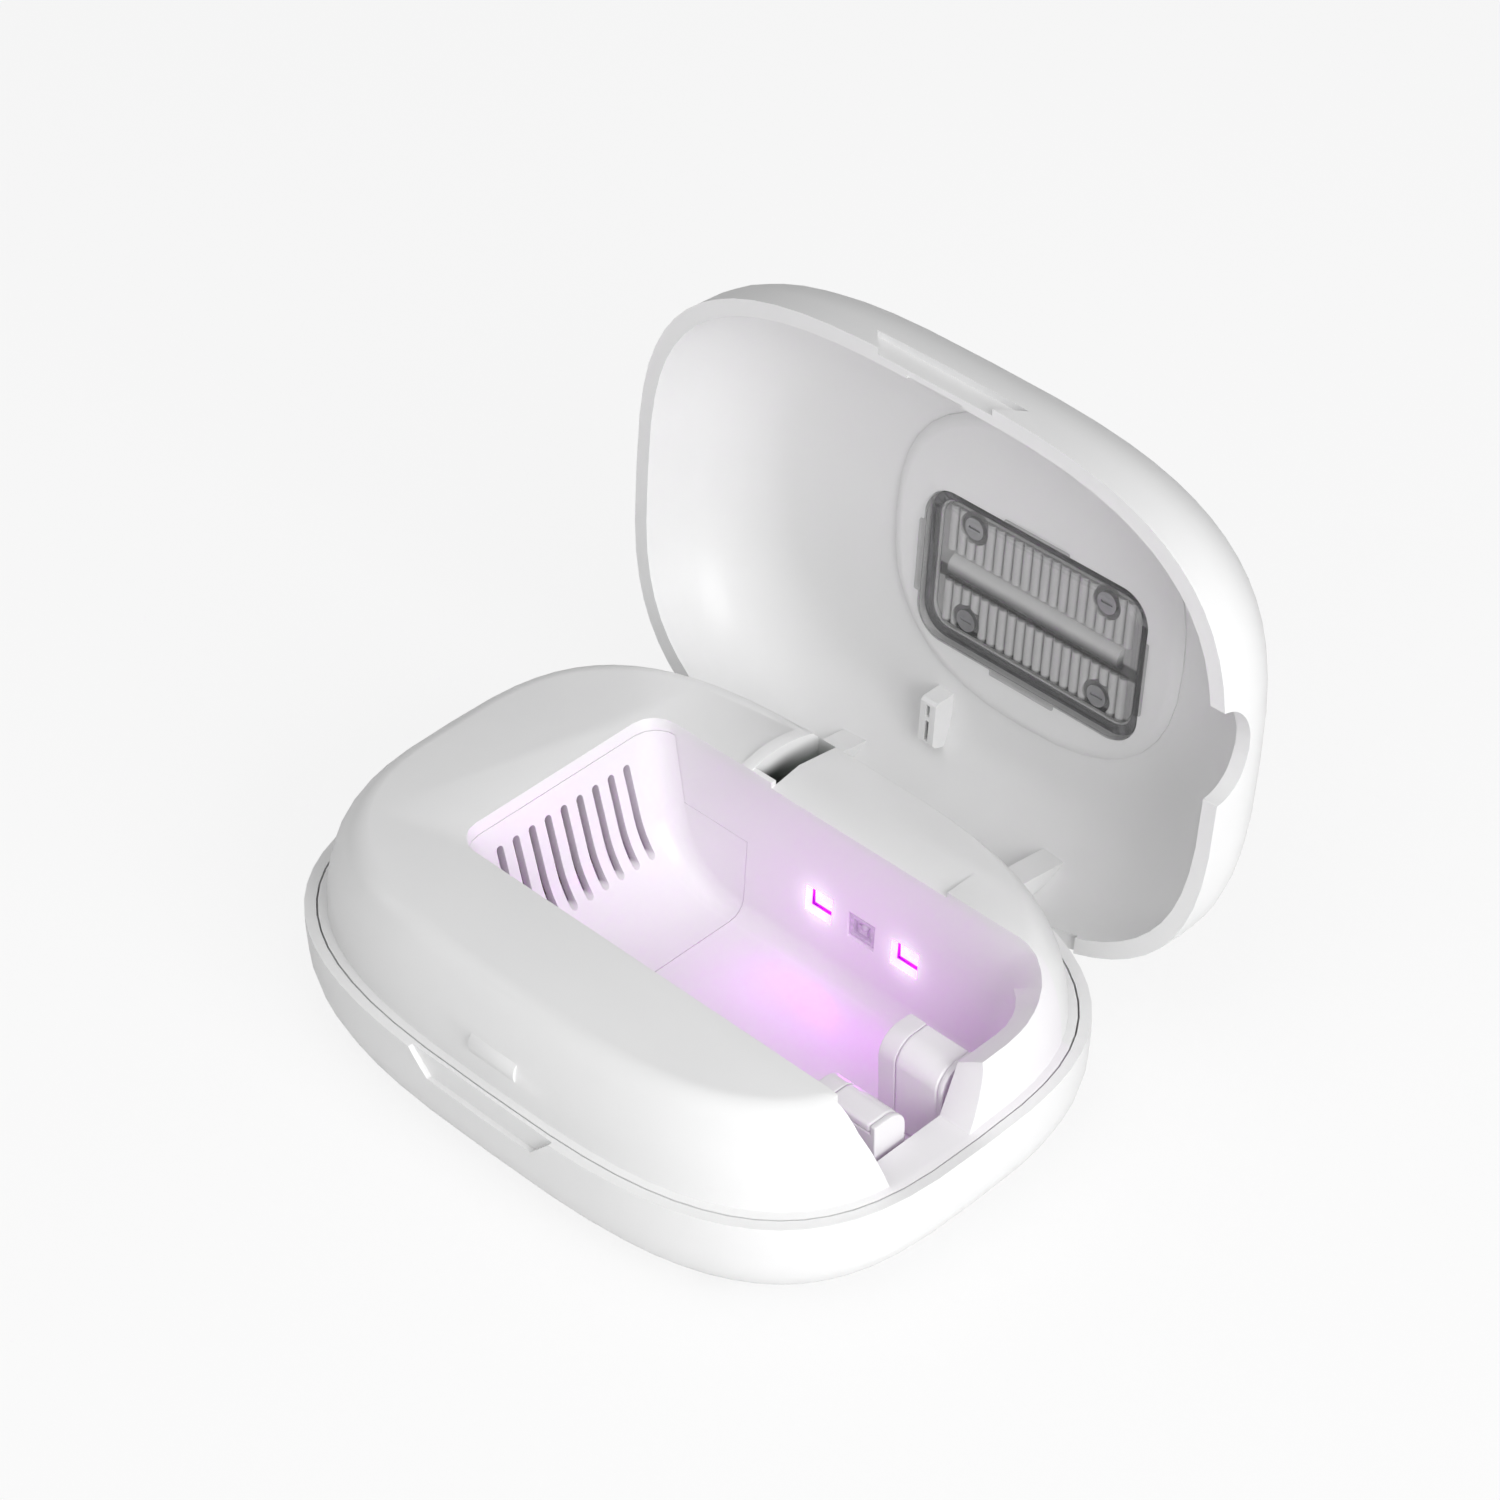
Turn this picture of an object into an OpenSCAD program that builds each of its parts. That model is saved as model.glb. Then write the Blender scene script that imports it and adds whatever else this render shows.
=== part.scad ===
// Travel case for the head of a toothbrush: a lidded, pebble-shaped box that dries and lights it.
// Millimetres. X runs along the case towards the handle exit, Y towards the hinge, Z up.
// The origin is the middle of the flat underside. The lid is drawn open, resting on its stop.

/* [Case] */
// Length of the case along X
case_l = 90; // [88:1:98]
// Depth of the case along Y
case_w = 66.4; // [66:0.2:70]
// Squareness of the plan outline, 2 is an ellipse
corner_n = 3.1; // [3:0.1:3.6]
// Height of the base, underside to rim
base_h = 14.5; // [14.3:0.1:17]
// Height of the lid above the rim at its crown
lid_h = 16.4; // [16.3:0.1:18]
// Wall of the base below its rim
base_wall = 2; // [1.7:0.1:2.2]
// Floor thickness of the base
floor_t = 1.8; // [1.4:0.1:1.9]
// Width of the lid's rim
lid_rim_w = 1.95; // [1.6:0.05:2]
// Opening angle of the lid
open_angle = 95; // [60:1:96]

/* [Deck] */
// Height of the deck's dome above the rim
deck_h = 11.7; // [11:0.1:11.8]
// Wall of the deck
deck_t = 1.5; // [1.2:0.1:1.6]
// Width of the bare rim outside the groove
rim_w = 1.2; // [1:0.1:1.2]
// Width of the groove between base and deck
groove_w = 0.2; // [0.1:0.05:0.25]
// Thickness of the deck's flange
flange_t = 1.4; // [1:0.1:1.5]
// Distance from the case outline to the foot of the dome
dome_foot = 2.35; // [2.3:0.05:2.6]

/* [Chamber] */
// Depth of the chamber floor below the rim
floor_drop = 8.7; // [7.5:0.1:8.7]
// Wall of the chamber
tub_t = 1.2; // [1:0.1:1.3]
// Radius of the cove under the vent
cove_r = 12.3; // [11:0.1:12.5]
// Lean of the vent wall in degrees
vent_lean = 14; // [8:1:16]
// Where the chamber ends behind the neck rest
chamber_end = 38.3; // [37.8:0.1:38.6]
// Back wall of the chamber at the deck
back_y = 17.2; // [16.8:0.1:17.3]
// Front wall of the chamber
front_y = -14.4; // [-14.8:0.1:-13.8]
// Radius of the fillet round the floor
fillet_r = 2; // [1:0.2:2.4]
// Radius of the upright corners beside the vent
corner_r = 3.4; // [2.4:0.2:3.6]

/* [Vent] */
// Number of slots
slot_count = 9; // [5:2:9]
// Distance between slots
slot_pitch = 2.5; // [2:0.1:2.5]
// Width of a slot
slot_w = 1; // [0.6:0.1:1.2]
// Length of a slot
slot_l = 11.8; // [8:0.2:12]

/* [Lights] */
// Distance between the light windows
window_pitch = 6.7; // [6.2:0.1:7.2]
// Width of a window
window_w = 4.1; // [3.8:0.1:4.4]
// Height of a window
window_h = 3.5; // [3.3:0.1:4]

/* [Neck rest] */
// Gap for the neck of the brush
neck_gap = 5.8; // [5:0.1:7]
// Height of the rests above the rim
neck_top = 4.4; // [2.5:0.1:5]
// Thickness of a soft pad
pad_t = 1.2; // [0.8:0.1:1.5]

/* [Lens] */
// Length of the lens in the lid
lens_l = 33.5; // [31:0.5:34]
// Width of the lens in the lid
lens_w = 20.2; // [18.8:0.2:20.4]
// Flutes in a row
flute_count = 20; // [12:1:21]

/* [Hinge] */
// Radius of a hinge pin
pin_r = 0.6; // [0.5:0.05:0.7]
// Distance of each hinge arm from the middle
arm_x = 16; // [15:0.5:16.5]
// Width of a hinge arm
arm_w = 3.4; // [3:0.1:3.6]

/* [Fan] */
// Size of the fan's square frame
fan_size = 18; // [17:0.5:18]
// Number of blades
blade_count = 7; // [5:2:9]

/* [Hidden] */
half_l = case_l / 2;
half_w = case_w / 2;
rim_z = base_h;
sides = 64;
run = 0.03;
gap = 0.1;
far = 60;

// Hinge axis and its two concentric reliefs
hinge_y = half_w - 3.5;
hinge_z = rim_z - 3.5;
knuckle_r = 1.8;
base_relief_r = 4.3;
lid_relief_r = 4.5;
lid_lift = 0.2;
relief_end = 28;

// Profile of the lid
lid_band = 3.8;
lid_edge = 14;
roof_z = rim_z + lid_h - 2.3;
plateau_z = roof_z - 0.8;

// Chamber
floor_z = rim_z - floor_drop;
deck_z = rim_z + deck_h;
under_deck = deck_z - deck_t;
cove_x = 36.4 - half_l;
cove_z = floor_z + cove_r;
flare_z = rim_z + 6;
seam_x = cove_x + 1.2;
seam_z = rim_z + 1.5;
mid_y = (front_y + back_y) / 2;
vent_z = rim_z + 1.5;
shelf_y = 21.7;
shelf_end = 23;
back_fall = 1.25;

// Lights in the back wall
window_x = 11;
window_z = rim_z - 0.8;
led_board_y = 18.4;
led_z = [rim_z - 5.5, rim_z + 4];
uva_t = 1;
uvc_t = 2.1;
led_screw_x = [-1.2, 23.2];

// Handle exit
exit_y = [-12, -0.3];

// Neck rest, which ends over the fillet of the chamber floor
rest_back = 0.7;
rest_x = [28, chamber_end - rest_back];
rest_lift = fillet_r - sqrt(pow(fillet_r, 2) - pow(fillet_r - rest_back, 2)) + gap;
pad_x = [30.5, 36.8];
neck_y = -2.1;

// Sensor slot in the deck and the lid's foot that enters it
slot_x = [-7.4, -4.2];
slot_y = [17.9, 28.2];
well_z = rim_z + 6.5;
foot_x = -5.7;
foot_w = 2.4;
foot_y = [18.2, 24.7];
foot_z = rim_z + 11;
foot_slit = 0.6;
magnet_y = [foot_y[0] + 3, foot_y[1] - 0.8];

// Lip beside the sensor slot, the arch of a large circle
lip_w = 1.6;
lip_y = 21.5;
lip_r = 14.6;
lip_rise = 0.7;

// Raised bead on the front of the dome and the relief for it in the lid
catch_x = [-3.5, 3.7];
catch_z = rim_z + 3.7;
catch_r = 2;
catch_out = 0.35;
catch_y = half_w - dome_foot - 5 * (1 - sqrt(1 - pow((catch_z - rim_z) / deck_h, 2)));

// Fan behind the vent, at a set distance from the end of the case
fan_x = 18 - half_l;
fan_t = 6;
fan_z = rim_z;
fan_hole = fan_size / 2 - 1;

// Boards, socket and cell
board_z = 2.6;
usb_x = 1.7 - half_l;
usb_z = 5.4;
usb_r = 1.63;
cell_r = 5;
cell_y = -22.2;
cell_z = 11;
cell_l = 42;

// Screws
boss_places = [for (x = [-27, 27], y = [-24, 24]) [x, y]];
boss_top = 9;
screw_seat = 3.2;
screw_r = 1;
board_screw_r = 0.5;
main_screws = [[-16.5, 10.5], [22.5, 10.5], [3, -9]];
usb_screws = [[usb_x + 6.3, -5.4], [usb_x + 6.3, 5.4]];

// Lens in the lid
lens_x = 6.3;
lens_y = 0.8;
lens_z = plateau_z - 0.9;
lens_seat = roof_z + 0.3;
flute_z = roof_z + 0.5;
pocket_z = roof_z + 1;
lens_screws_at = [for (x = [-10.1, 10.1], y = [-6.4, 6.4]) [lens_x + x, lens_y + y]];
tab_l = 9.8;
tab_out = 0.7;

// A ring of the plan outline, drawn in by a distance
function outline_ring(inset, z) =
    [for (k = [0:sides - 1]) let (t = 360 * k / sides, e = 2 / corner_n)
        [(half_l - inset) * sign(cos(t)) * pow(abs(cos(t)), e),
         (half_w - inset) * sign(sin(t)) * pow(abs(sin(t)), e), z]];

// A rounded edge as rings: it starts upright and ends flat
function edge_rings(inset, edge, z0, rise, p, steps) =
    [for (k = [0:steps]) let (u = 90 * k / steps)
        outline_ring(inset + edge * (1 - pow(cos(u), 2 / p)), z0 + rise * pow(sin(u), 2 / p))];

function flipped(rings) = [for (k = [len(rings) - 1:-1:0]) rings[k]];

// A solid through a stack of rings, bottom ring first
module loft(rings) {
    n = len(rings[0]);
    m = len(rings);
    side = [for (j = [0:m - 2], k = [0:n - 1])
        let (a = j * n + k, b = j * n + (k + 1) % n)
        each [[a, a + n, b + n], [a, b + n, b]]];
    bottom = [for (k = [0:n - 1]) k];
    top = [for (k = [n - 1:-1:0]) (m - 1) * n + k];
    polyhedron([for (r = rings) each r], [bottom, each side, top]);
}

// Extrusions of a profile drawn in YZ along X, and of one drawn in XZ along Y
module along_x(x0, x1) {
    translate([x0, 0, 0]) rotate([90, 0, 90]) linear_extrude(x1 - x0) children();
}

module along_y(y0, y1) {
    translate([0, y1, 0]) rotate([90, 0, 0]) linear_extrude(y1 - y0) children();
}

module block(x, y, z) {
    translate([x[0], y[0], z[0]]) cube([x[1] - x[0], y[1] - y[0], z[1] - z[0]]);
}

module rounded(l, w, r) {
    square([l - 2 * r, w], center = true);
    square([l, w - 2 * r], center = true);
    for (x = [-1, 1], y = [-1, 1])
        translate([x * (l / 2 - r), y * (w / 2 - r)]) circle(r, $fn = 32);
}

module post(p, r, z0, z1) {
    translate([p.x, p.y, z0]) cylinder(r = r, h = z1 - z0, $fn = 32);
}

// Outline solids of the base
module base_outer() {
    rings = edge_rings(0, 14.5, rim_z - 1.9, 1.9 - base_h, 2.8, 9);
    loft([each flipped(rings), outline_ring(0, rim_z)]);
}

module base_inner() {
    rings = edge_rings(base_wall, 13.5, rim_z - 1.9, floor_t + 1.9 - base_h, 2.8, 7);
    seat_z = rim_z - flange_t;
    loft([each flipped(rings), outline_ring(base_wall, seat_z),
        outline_ring(rim_w, seat_z), outline_ring(rim_w, rim_z + 1)]);
}

// The thumb recess runs across the parting line and is widest at the rim
module thumb_recess(z0, z1, depth) {
    low = 16.6;
    high = 22.6;
    along_y(-half_w - 3, -half_w + depth)
        polygon([[-low / 2, z0], [low / 2, z0], [high / 2, z1], [-high / 2, z1]]);
}

module hinge_ring(r, x0, x1) {
    along_x(x0, x1) translate([hinge_y, hinge_z]) circle(r, $fn = 48);
}

module knuckles() {
    for (x = [arm_x - arm_w / 2 - 3.5, arm_x + arm_w / 2 + 0.3], s = [0, 1]) mirror([s, 0, 0]) {
        hinge_ring(knuckle_r, x, x + 3.2);
        block([x, x + 3.2], [hinge_y, half_w], [hinge_z - knuckle_r, hinge_z + knuckle_r]);
    }
}

// Ribs that carry the cell and the fan, and posts under the boards
module base_supports() {
    for (x = [-14, 14]) difference() {
        block([x - 0.8, x + 0.8], [-half_w, cell_y + 5.6], [0.5, cell_z]);
        along_x(x - 1, x + 1) translate([cell_y, cell_z]) circle(cell_r + 0.05, $fn = 48);
    }
    for (x = [fan_x - 1.6, fan_x - fan_t + 0.6])
        block([x - 0.6, x + 0.6], [mid_y - 6, mid_y + 6], [0.5, fan_z - fan_size / 2]);
    block([fan_x - fan_t - 1.2, fan_x - fan_t - gap], [mid_y - 6, mid_y + 6],
        [0.5, fan_z - fan_size / 2 + 2]);
    for (p = main_screws) post(p, 1.7, 0.5, board_z);
    for (p = usb_screws) post(p, 1.5, 0.5, usb_z);
}

module base_shell() {
    color("white") difference() {
        union() {
            difference() {
                base_outer();
                base_inner();
            }
            intersection() {
                base_outer();
                union() {
                    knuckles();
                    base_supports();
                    for (p = boss_places) post(p, 2.9, 0, boss_top);
                }
            }
        }
        hinge_ring(pin_r + run, -half_l, half_l);
        for (x = [-arm_x, arm_x])
            block([x - arm_w / 2 - 0.3, x + arm_w / 2 + 0.3], [hinge_y - 2.2, half_w + 1],
                [hinge_z - 2.2, rim_z + 1]);
        difference() {
            block([-half_l, half_l], [hinge_y + 1, half_w + 1], [hinge_z + 1, rim_z + 1]);
            hinge_ring(base_relief_r, -half_l - 1, half_l + 1);
        }
        for (p = boss_places) {
            post(p, screw_r + 0.15, -1, boss_top + 1);
            post(p, 2.05, -1, screw_seat);
        }
        for (p = main_screws) post(p, board_screw_r, 0.9, board_z + 1);
        for (p = usb_screws) post(p, board_screw_r, 2.9, usb_z + 1);
        thumb_recess(rim_z - 3, rim_z + gap, 0.8);
        along_x(-half_l - 1, -half_l + 5) translate([0, usb_z + 1 + usb_r])
            rounded(9.6, 3.9, 1.9);
        for (k = [0:4])
            block([fan_x - 3.6 + 2.2 * k, fan_x - 2.6 + 2.2 * k], [mid_y - 6, mid_y + 6],
                [-1, floor_t + 1]);
    }
}

// Chamber space: a drafted tub with a filleted floor and a flared end
function back_at(z) = back_y - 0.09 * (deck_z - z);

function corner_arc(x, y, r, start, n) =
    [for (i = [0:n]) let (a = start + 90 * i / n) [x + r * cos(a), y + r * sin(a)]];

function chamber_ring(z, grow) =
    let (
        flare = max(0, z - flare_z),
        x1 = chamber_end + 1.9 * flare + grow,
        y0 = front_y - grow,
        y1 = back_at(z) + grow,
        rb = 8 + 1.1 * flare + grow,
        rf = 2.4 + grow,
        plan = [each corner_arc(x1 - rf, y0 + rf, rf, -90, 4),
            each corner_arc(x1 - rb, y1 - rb, rb, 0, 8), [cove_x - 23.4, y1], [cove_x - 23.4, y0]]
    )
    [for (p = plan) [p.x, p.y, z]];

module chamber_loft(grow) {
    r = fillet_r + grow;
    floor_rings = [for (u = [0:22.5:90])
        chamber_ring(floor_z + fillet_r - r * cos(u), grow - r * (1 - sin(u)))];
    loft([each floor_rings, chamber_ring(flare_z, grow), chamber_ring(rim_z + 14, grow)]);
}

// The cove and the leaning vent wall in XZ, from the floor upward
function cove_turn(i) = 270 - (90 - vent_lean) * min(i, 12) / 12;

function vent_line(grow) =
    let (r = cove_r + grow, top = rim_z + 15, end = cove_z - r * sin(vent_lean))
    [for (i = [0:12]) [cove_x + r * cos(cove_turn(i)), cove_z + r * sin(cove_turn(i))],
        [cove_x - r * cos(vent_lean) - (top - end) * tan(vent_lean), top]];

// Everything to the right of the vent wall and its cove
module vent_region(grow) {
    along_y(-30, 30) polygon([[far, floor_z - grow], each vent_line(grow), [far, rim_z + 15]]);
}

// Rounded corner between the vent wall and a side wall, s is 1 at the back and -1 at the front
module vent_corner(s) {
    line = vent_line(0);
    loft([for (i = [0:13])
        let (
            a = cove_turn(i),
            r = fillet_r + (corner_r - fillet_r) * min(i, 12) / 12,
            bow = [for (b = [270:-22.5:180]) [r + r * cos(b), r + r * sin(b)]],
            profile = [[-0.4, -0.4], [r, -0.4], each bow, [-0.4, r]],
            ring = [for (q = profile) let (z = line[i].y - q.x * sin(a))
                [line[i].x - q.x * cos(a), (s > 0 ? back_at(z) : front_y) - s * q.y, z]]
        )
        s > 0 ? flipped(ring) : ring]);
}

module chamber_space() {
    difference() {
        intersection() {
            chamber_loft(0);
            vent_region(0);
        }
        for (s = [-1, 1]) vent_corner(s);
    }
}

// Outline solids of the deck
module dome_outer(foot_z) {
    loft([outline_ring(rim_w + groove_w, foot_z), outline_ring(rim_w + groove_w, rim_z),
        each edge_rings(dome_foot, 5, rim_z, deck_h, 2, 9)]);
}

module dome_inner() {
    loft([outline_ring(dome_foot + 1.35, rim_z - 3),
        each edge_rings(dome_foot + 1.35, 4.2, rim_z - flange_t, deck_h - deck_t + flange_t, 2, 7)]);
}

module exit_notch() {
    along_x(36.5, half_l + 2) polygon([[exit_y[0], rim_z], [exit_y[1], rim_z],
        [2.8, rim_z + 6.8], [4, rim_z + 14], [-15.4, rim_z + 14], [-14.5, rim_z + 8]]);
}

module sensor_slot(z0) {
    block(slot_x, slot_y, [z0, rim_z + 14]);
}

module deck() {
    color("white") difference() {
        union() {
            difference() {
                dome_outer(rim_z - flange_t);
                dome_inner();
            }
            // raised bead on the front
            intersection() {
                along_x(catch_x[0], catch_x[1])
                    translate([catch_r - catch_y - catch_out, catch_z])
                        circle(catch_r, $fn = 64);
                block(catch_x, [-half_w, 0.9 - catch_y], [rim_z, deck_z]);
            }
            // raised lip beside the sensor slot
            intersection() {
                along_x(slot_x[0] - lip_w, slot_x[0])
                    translate([lip_y, deck_z + lip_rise - lip_r]) circle(lip_r, $fn = 96);
                block([-half_l, 0], [back_y - 0.4, slot_y[1] - 0.7], [under_deck, far]);
            }
            intersection() {
                dome_outer(floor_z - 4);
                union() {
                    intersection() {
                        chamber_loft(tub_t);
                        block([cove_x - 16.3, far], [-30, 30], [0, rim_z + 15]);
                    }
                    block([chamber_end, half_l], [-17, 5], [rim_z - flange_t, rim_z + 13]);
                    block([slot_x[0] - 1.2, slot_x[1] + 1.2], [back_y, slot_y[1] + 0.6],
                        [well_z, rim_z + 13]);
                    for (p = boss_places) post(p, 2.7, boss_top, rim_z + 13);
                }
            }
            for (x = led_screw_x)
                translate([x, back_at(window_z), window_z]) rotate([-90, 0, 0])
                    cylinder(r = 1.5, h = led_board_y - back_at(window_z), $fn = 32);
            for (p = [[-8, 26.6], [-3.8, 20.2]]) post(p, 0.45, well_z - 1, well_z + 1);
        }
        chamber_space();
        exit_notch();
        sensor_slot(well_z - 1);
        // room for the vent block, whose seam shows on the back wall
        block([-40, seam_x + gap], [-20, 22], [0, seam_z + gap]);
        intersection() {
            chamber_loft(0);
            block([-40, cove_x], [-30, 30], [0, under_deck]);
        }
        // sloped shelf behind the chamber
        along_x(slot_x[1], shelf_end) polygon([[shelf_y, deck_z], [back_y - 0.4, deck_z - 0.8],
            [back_y - 3, deck_z - 0.8], [back_y - 3, deck_z + 2], [shelf_y, deck_z + 2]]);
        // the dome falls away behind the shelf
        along_x(slot_x[1], 30) polygon([[shelf_y, deck_z], [hinge_y, deck_z - back_fall],
            [hinge_y, deck_z + 2], [shelf_y, deck_z + 2]]);
        // windows for the lights
        for (k = [-1:1]) block(
            [window_x + k * window_pitch - window_w / 2, window_x + k * window_pitch + window_w / 2],
            [13, led_board_y + 1], [window_z - window_h / 2, window_z + window_h / 2]);
        for (x = led_screw_x)
            translate([x, led_board_y - 1.5, window_z]) rotate([-90, 0, 0])
                cylinder(r = board_screw_r, h = 2, $fn = 24);
        // slots for the hinge arms
        for (x = [-arm_x, arm_x])
            block([x - arm_w / 2 - 0.3, x + arm_w / 2 + 0.3], [hinge_y - 2.1, half_w + 1],
                [hinge_z - 1, rim_z + 12]);
        for (p = boss_places) post(p, screw_r + run, boss_top - 1, 15.3);
    }
}

// Coved wall with the air slots, and the duct behind it
module vent_block() {
    z_top = under_deck - gap;
    duct_y = [mid_y - 12, mid_y + 12];
    duct_z = [fan_z - fan_size / 2, fan_z + fan_size / 2];
    color("white") difference() {
        union() {
            intersection() {
                chamber_loft(tub_t);
                vent_region(1.4);
                block([-40, seam_x], [-30, 30], [0, seam_z]);
            }
            intersection() {
                chamber_loft(-0.05);
                vent_region(1.4);
                block([-40, cove_x], [-30, 30], [seam_z - 1, z_top]);
            }
            difference() {
                block([fan_x, cove_x - 3], duct_y, duct_z);
                block([fan_x + 2.5, cove_x], [duct_y[0] + 0.8, duct_y[1] - 0.8],
                    [duct_z[0] + 1, duct_z[1] - 1]);
                block([fan_x - 1, fan_x + 1.9], [mid_y - 8, mid_y + 8], [fan_z - 8, fan_z + 8]);
                block([fan_x - 1, fan_x + 3], [mid_y - 7.4, mid_y + 7.4],
                    [fan_z - 7.4, fan_z + 7.4]);
            }
        }
        chamber_space();
        for (k = [0:slot_count - 1]) {
            y = mid_y + slot_pitch * (k - (slot_count - 1) / 2);
            along_x(fan_x + 2.6, cove_x) translate([y, vent_z]) {
                square([slot_w, slot_l - slot_w], center = true);
                for (s = [-1, 1]) translate([0, s * (slot_l - slot_w) / 2])
                    circle(slot_w / 2, $fn = 24);
            }
        }
    }
}

// Profile of a neck rest in YZ: a block with a rounded upper corner at y0, drawn in by a distance
module rest_profile(y0, y1, top, r, inset) {
    s = sign(y1 - y0);
    difference() {
        translate([min(y0 + s * inset, y1), floor_z])
            square([abs(y1 - y0) - inset, top - inset - floor_z]);
        difference() {
            translate([y0 + s * inset - (s < 0 ? r - inset : 0) - 0, top - r])
                square([r - inset, r]);
            translate([y0 + s * r, top - r]) circle(r - inset, $fn = 40);
        }
    }
}

rear_rest = [neck_y + neck_gap / 2, 6];
front_rest = [neck_y - neck_gap / 2, -9.8];
rest_top = rim_z + neck_top;

module rests(inset) {
    rest_profile(rear_rest[0], rear_rest[1], rest_top, 3, inset);
    rest_profile(front_rest[0], front_rest[1], rest_top - 0.4, 2.4, inset);
}

module neck_rest() {
    color("gainsboro") difference() {
        union() {
            along_x(rest_x[0], pad_x[0]) rests(0);
            along_x(pad_x[0], pad_x[1]) rests(pad_t);
            along_x(pad_x[1], rest_x[1]) rests(0);
            block(rest_x, [front_rest[1], rear_rest[1]], [floor_z, floor_z + 1]);
        }
        block([chamber_end - fillet_r - gap, far], [-30, 30], [floor_z - 1, floor_z + rest_lift]);
    }
}

module neck_pad(y0, y1, top, r) {
    difference() {
        along_x(pad_x[0], pad_x[1]) difference() {
            rest_profile(y0, y1, top, r, 0);
            rest_profile(y0, y1, top, r, pad_t);
        }
        block([0, far], [-20, 20], [floor_z - 1, floor_z + 1]);
    }
}

module rear_neck_pad() {
    color("whitesmoke") neck_pad(rear_rest[0], rear_rest[1], rest_top, 3);
}

module front_neck_pad() {
    color("whitesmoke") neck_pad(front_rest[0], front_rest[1], rest_top - 0.4, 2.4);
}

// Lights behind the back wall
module led_board() {
    color("seagreen") difference() {
        block([led_screw_x[0] - 2, led_screw_x[1] + 2], [led_board_y, led_board_y + 1], led_z);
        for (x = led_screw_x)
            translate([x, led_board_y - 1, window_z]) rotate([-90, 0, 0])
                cylinder(r = board_screw_r + 0.05, h = 3, $fn = 24);
    }
}

module led_body(k, side, thick) {
    x = window_x + k * window_pitch;
    w = window_w / 2 - side;
    h = window_h / 2 - side;
    block([x - w, x + w], [led_board_y - thick, led_board_y], [window_z - h, window_z + h]);
}

module uva_leds() {
    color("plum") for (k = [-1, 1]) difference() {
        led_body(k, 0.3, uva_t);
        translate([window_x + k * window_pitch, led_board_y - uva_t - 0.3, window_z])
            rotate([-90, 0, 0]) cylinder(r = 1.15, h = 0.7, $fn = 32);
    }
}

// A ceramic cup that fills its window, with the chip and its glass bead inside
module uvc_led() {
    face = led_board_y - uvc_t;
    color("silver") {
        difference() {
            led_body(0, 0.15, uvc_t);
            block([window_x - 1.3, window_x + 1.3], [face - 1, face + 0.5],
                [window_z - 1.1, window_z + 1.1]);
        }
        block([window_x - 0.8, window_x + 0.5], [face + 0.2, face + 0.6],
            [window_z - 0.8, window_z + 0.4]);
        translate([window_x + 0.3, face + 0.3, window_z + 0.5]) sphere(0.5, $fn = 24);
    }
}

module main_board() {
    top = board_z + 1;
    color("seagreen") difference() {
        union() {
            block([-19, 26], [-12, 13], [board_z, top]);
            block([-4, 3], [-1, 6], [top - 0.1, top + 0.8]);
            block([9, 13], [1, 5], [top - 0.1, top + 0.7]);
            block([15, 19.5], [-8, -4], [top - 0.1, top + 0.8]);
            for (x = [-13:4:-5]) block([x, x + 1.6], [-8, -7.2], [top - 0.1, top + 0.5]);
        }
        for (p = main_screws) post(p, board_screw_r + 0.05, 0, far);
    }
}

module usb_board() {
    color("seagreen") difference() {
        block([usb_x + 2.7, fan_x - fan_t - 1.4], [-7.4, 7.4], [usb_z, usb_z + 1]);
        for (p = usb_screws) post(p, board_screw_r + 0.05, 0, far);
    }
}

// Charging socket: an oval sleeve with a tongue
module usb_socket() {
    z = usb_z + 1 + usb_r;
    color("silver") difference() {
        along_x(usb_x, usb_x + 7.3) translate([0, z]) rounded(8.94, 2 * usb_r, usb_r - 0.02);
        difference() {
            along_x(usb_x - 0.7, usb_x + 6.3) translate([0, z])
                rounded(8.34, 2 * usb_r - 0.6, usb_r - 0.32);
            block([usb_x + 0.7, usb_x + 7.3], [-3.3, 3.3], [z - 0.35, z + 0.35]);
        }
    }
}

module battery() {
    color("slategray") {
        along_x(-cell_l / 2, cell_l / 2) translate([cell_y, cell_z]) circle(cell_r, $fn = 48);
        along_x(cell_l / 2, cell_l / 2 + 1) translate([cell_y, cell_z]) circle(1.8, $fn = 32);
    }
}

// Fan: square frame with spokes and a spindle, and the rotor that turns on it
module fan_frame() {
    color("dimgray") difference() {
        union() {
            difference() {
                block([fan_x - fan_t, fan_x], [mid_y - fan_size / 2, mid_y + fan_size / 2],
                    [fan_z - fan_size / 2, fan_z + fan_size / 2]);
                along_x(fan_x - fan_t - 1, fan_x + 1) translate([mid_y, fan_z])
                    circle(fan_hole, $fn = 64);
            }
            along_x(fan_x - fan_t, fan_x - fan_t + 0.8) translate([mid_y, fan_z]) {
                circle(3.4, $fn = 32);
                for (a = [45:90:315]) rotate(a) translate([0, -0.6]) square([fan_hole + 0.5, 1.2]);
            }
            along_x(fan_x - fan_t, fan_x - 1.4) translate([mid_y, fan_z]) circle(0.5, $fn = 24);
        }
        for (y = [-1, 1], z = [-1, 1])
            along_x(fan_x - fan_t - 1, fan_x + 1)
                translate([mid_y + y * (fan_size / 2 - 1.5), fan_z + z * (fan_size / 2 - 1.5)])
                    circle(0.7, $fn = 24);
    }
}

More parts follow.
